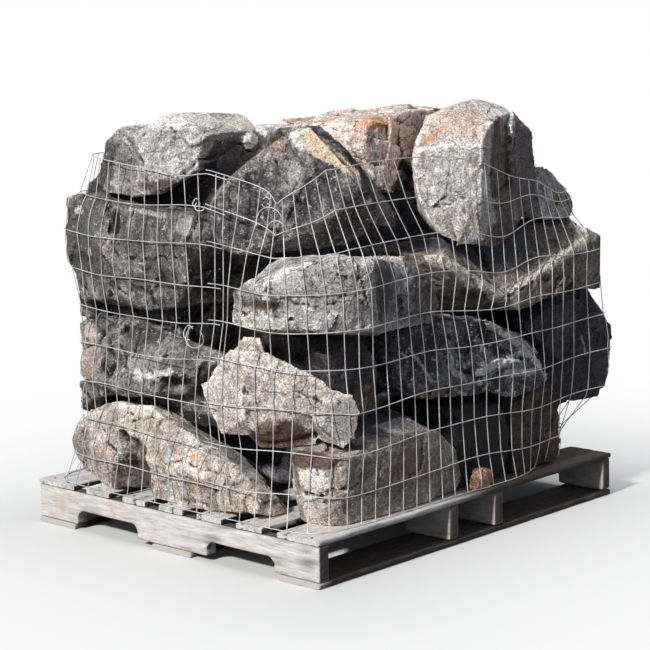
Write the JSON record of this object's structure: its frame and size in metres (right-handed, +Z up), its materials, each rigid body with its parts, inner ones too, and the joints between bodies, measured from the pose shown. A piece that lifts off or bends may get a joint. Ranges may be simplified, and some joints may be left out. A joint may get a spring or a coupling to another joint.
{
  "type": "pallet of garden boulders",
  "caption": "Rough garden boulders stacked in courses on a notched stringer pallet and held by a wrap of galvanised welded wire mesh",
  "frame": {"origin": "on the ground under the middle of the pallet, on the underside of the middle bottom board", "axes": "+X along the deck boards, +Y along the stringers towards the back, +Z up"},
  "size_m": [1.3186, 1.0412, 1.123],
  "materials": {
    "stringer_wood": "rough sawn weathered softwood",
    "deck_wood": "rough sawn weathered softwood",
    "nail_steel": "dull",
    "tan_stone": "rough natural",
    "grey_stone": "rough natural",
    "dark_stone": "rough natural",
    "pale_stone": "rough natural",
    "brown_stone": "rough natural",
    "orange_stone": "rough natural",
    "wire": "galvanised"
  },
  "bodies": {
    "root": {"stringer_left": "stringer_wood", "stringer_mid_left": "stringer_wood", "stringer_mid_right": "stringer_wood", "stringer_right": "stringer_wood", "deck_board_1": "deck_wood", "deck_board_2": "deck_wood", "deck_board_3": "deck_wood", "deck_board_4": "deck_wood", "deck_board_5": "deck_wood", "deck_board_6": "deck_wood", "deck_board_7": "deck_wood", "bottom_board_front": "deck_wood", "bottom_board_mid": "deck_wood", "bottom_board_back": "deck_wood", "nails": "nail_steel", "left_boulder_1": "tan_stone", "left_boulder_2": "grey_stone", "left_boulder_3": "grey_stone", "left_boulder_4": "dark_stone", "corner_boulder_1": "tan_stone", "corner_boulder_2": "pale_stone", "inner_boulder_2": "grey_stone", "corner_boulder_3": "pale_stone", "corner_boulder_4": "dark_stone", "front_boulder_1": "grey_stone", "front_boulder_2": "brown_stone", "front_boulder_3": "dark_stone", "front_boulder_4": "brown_stone", "front_boulder_5": "pale_stone", "right_boulder_2": "dark_stone", "right_boulder_4": "grey_stone", "pebble": "orange_stone", "top_boulder_1": "orange_stone", "top_boulder_2": "orange_stone", "top_boulder_3": "grey_stone", "right_boulder_1": "grey_stone", "right_boulder_3": "tan_stone", "inner_boulder_1": "grey_stone", "inner_boulder_3": "grey_stone", "middle_boulder_2": "grey_stone", "right_boulder_5": "grey_stone", "back_boulder_1": "grey_stone", "back_boulder_2": "tan_stone", "back_boulder_3": "grey_stone", "back_boulder_4": "grey_stone", "back_boulder_5": "tan_stone", "back_boulder_6": "grey_stone", "back_boulder_7": "grey_stone", "back_boulder_8": "orange_stone", "mesh_front": "wire", "mesh_right": "wire", "mesh_back": "wire", "mesh_left": "wire"}
  },
  "joints": []
}
